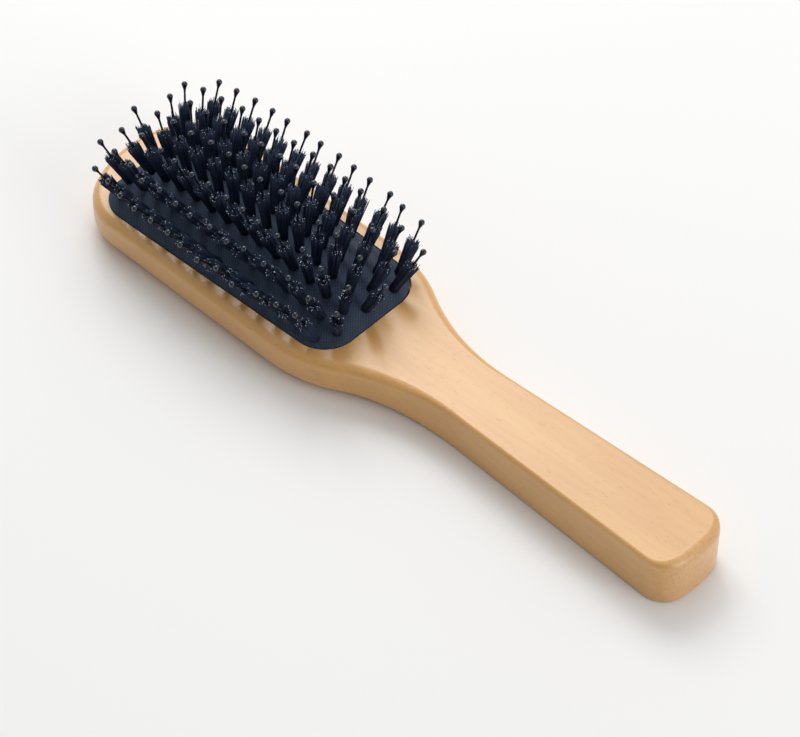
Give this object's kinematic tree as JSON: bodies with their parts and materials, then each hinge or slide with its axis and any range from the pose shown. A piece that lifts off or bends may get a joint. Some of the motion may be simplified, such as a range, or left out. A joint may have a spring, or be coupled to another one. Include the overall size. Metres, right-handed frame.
{
  "type": "cushion hairbrush",
  "caption": "Wooden cushion hairbrush: one-piece beech head and handle, domed rubber cushion, and leaning bristle tufts round ball-tipped pins that sink when pressed.",
  "frame": {"origin": "under the middle of the brush, on the plane that its flat back lies on", "axes": "+X along the handle, away from the head; +Y across the brush; +Z out of the back, towards the tips"},
  "size_m": [0.215, 0.0556, 0.0368],
  "materials": {
    "beech": "satin, clear",
    "cushion": "matte, finely ribbed",
    "pins": "gloss",
    "bristles": "satin"
  },
  "bodies": {
    "brush": {"wooden_body": "beech", "cushion": "cushion"},
    "rank_01": {"pin_rank_01": "pins", "bristle_rank_01": "bristles"},
    "rank_02": {"pin_rank_02": "pins", "bristle_rank_02": "bristles"},
    "rank_03": {"pin_rank_03": "pins", "bristle_rank_03": "bristles"},
    "rank_04": {"pin_rank_04": "pins", "bristle_rank_04": "bristles"},
    "rank_05": {"pin_rank_05": "pins", "bristle_rank_05": "bristles"},
    "rank_06": {"pin_rank_06": "pins", "bristle_rank_06": "bristles"},
    "rank_07": {"pin_rank_07": "pins", "bristle_rank_07": "bristles"},
    "rank_08": {"pin_rank_08": "pins", "bristle_rank_08": "bristles"},
    "rank_09": {"pin_rank_09": "pins", "bristle_rank_09": "bristles"},
    "rank_10": {"pin_rank_10": "pins", "bristle_rank_10": "bristles"},
    "rank_11": {"pin_rank_11": "pins", "bristle_rank_11": "bristles"},
    "rank_12": {"pin_rank_12": "pins", "bristle_rank_12": "bristles"},
    "rank_13": {"pin_rank_13": "pins", "bristle_rank_13": "bristles"},
    "rank_14": {"pin_rank_14": "pins", "bristle_rank_14": "bristles"}
  },
  "joints": [
    {"name": "rank_01_press", "type": "slide", "parent": "brush", "child": "rank_01", "axis": [0, 0, -1], "range_m": [0, 0.003], "stiffness_N_per_m": 500, "deforming": ["cushion"]},
    {"name": "rank_02_press", "type": "slide", "parent": "brush", "child": "rank_02", "axis": [0, 0, -1], "range_m": [0, 0.003], "stiffness_N_per_m": 500, "deforming": ["cushion"]},
    {"name": "rank_03_press", "type": "slide", "parent": "brush", "child": "rank_03", "axis": [0, 0, -1], "range_m": [0, 0.003], "stiffness_N_per_m": 500, "deforming": ["cushion"]},
    {"name": "rank_04_press", "type": "slide", "parent": "brush", "child": "rank_04", "axis": [0, 0, -1], "range_m": [0, 0.003], "stiffness_N_per_m": 500, "deforming": ["cushion"]},
    {"name": "rank_05_press", "type": "slide", "parent": "brush", "child": "rank_05", "axis": [0, 0, -1], "range_m": [0, 0.003], "stiffness_N_per_m": 500, "deforming": ["cushion"]},
    {"name": "rank_06_press", "type": "slide", "parent": "brush", "child": "rank_06", "axis": [0, 0, -1], "range_m": [0, 0.003], "stiffness_N_per_m": 500, "deforming": ["cushion"]},
    {"name": "rank_07_press", "type": "slide", "parent": "brush", "child": "rank_07", "axis": [0, 0, -1], "range_m": [0, 0.003], "stiffness_N_per_m": 500, "deforming": ["cushion"]},
    {"name": "rank_08_press", "type": "slide", "parent": "brush", "child": "rank_08", "axis": [0, 0, -1], "range_m": [0, 0.003], "stiffness_N_per_m": 500, "deforming": ["cushion"]},
    {"name": "rank_09_press", "type": "slide", "parent": "brush", "child": "rank_09", "axis": [0, 0, -1], "range_m": [0, 0.003], "stiffness_N_per_m": 500, "deforming": ["cushion"]},
    {"name": "rank_10_press", "type": "slide", "parent": "brush", "child": "rank_10", "axis": [0, 0, -1], "range_m": [0, 0.003], "stiffness_N_per_m": 500, "deforming": ["cushion"]},
    {"name": "rank_11_press", "type": "slide", "parent": "brush", "child": "rank_11", "axis": [0, 0, -1], "range_m": [0, 0.003], "stiffness_N_per_m": 500, "deforming": ["cushion"]},
    {"name": "rank_12_press", "type": "slide", "parent": "brush", "child": "rank_12", "axis": [0, 0, -1], "range_m": [0, 0.003], "stiffness_N_per_m": 500, "deforming": ["cushion"]},
    {"name": "rank_13_press", "type": "slide", "parent": "brush", "child": "rank_13", "axis": [0, 0, -1], "range_m": [0, 0.003], "stiffness_N_per_m": 500, "deforming": ["cushion"]},
    {"name": "rank_14_press", "type": "slide", "parent": "brush", "child": "rank_14", "axis": [0, 0, -1], "range_m": [0, 0.003], "stiffness_N_per_m": 500, "deforming": ["cushion"]}
  ]
}
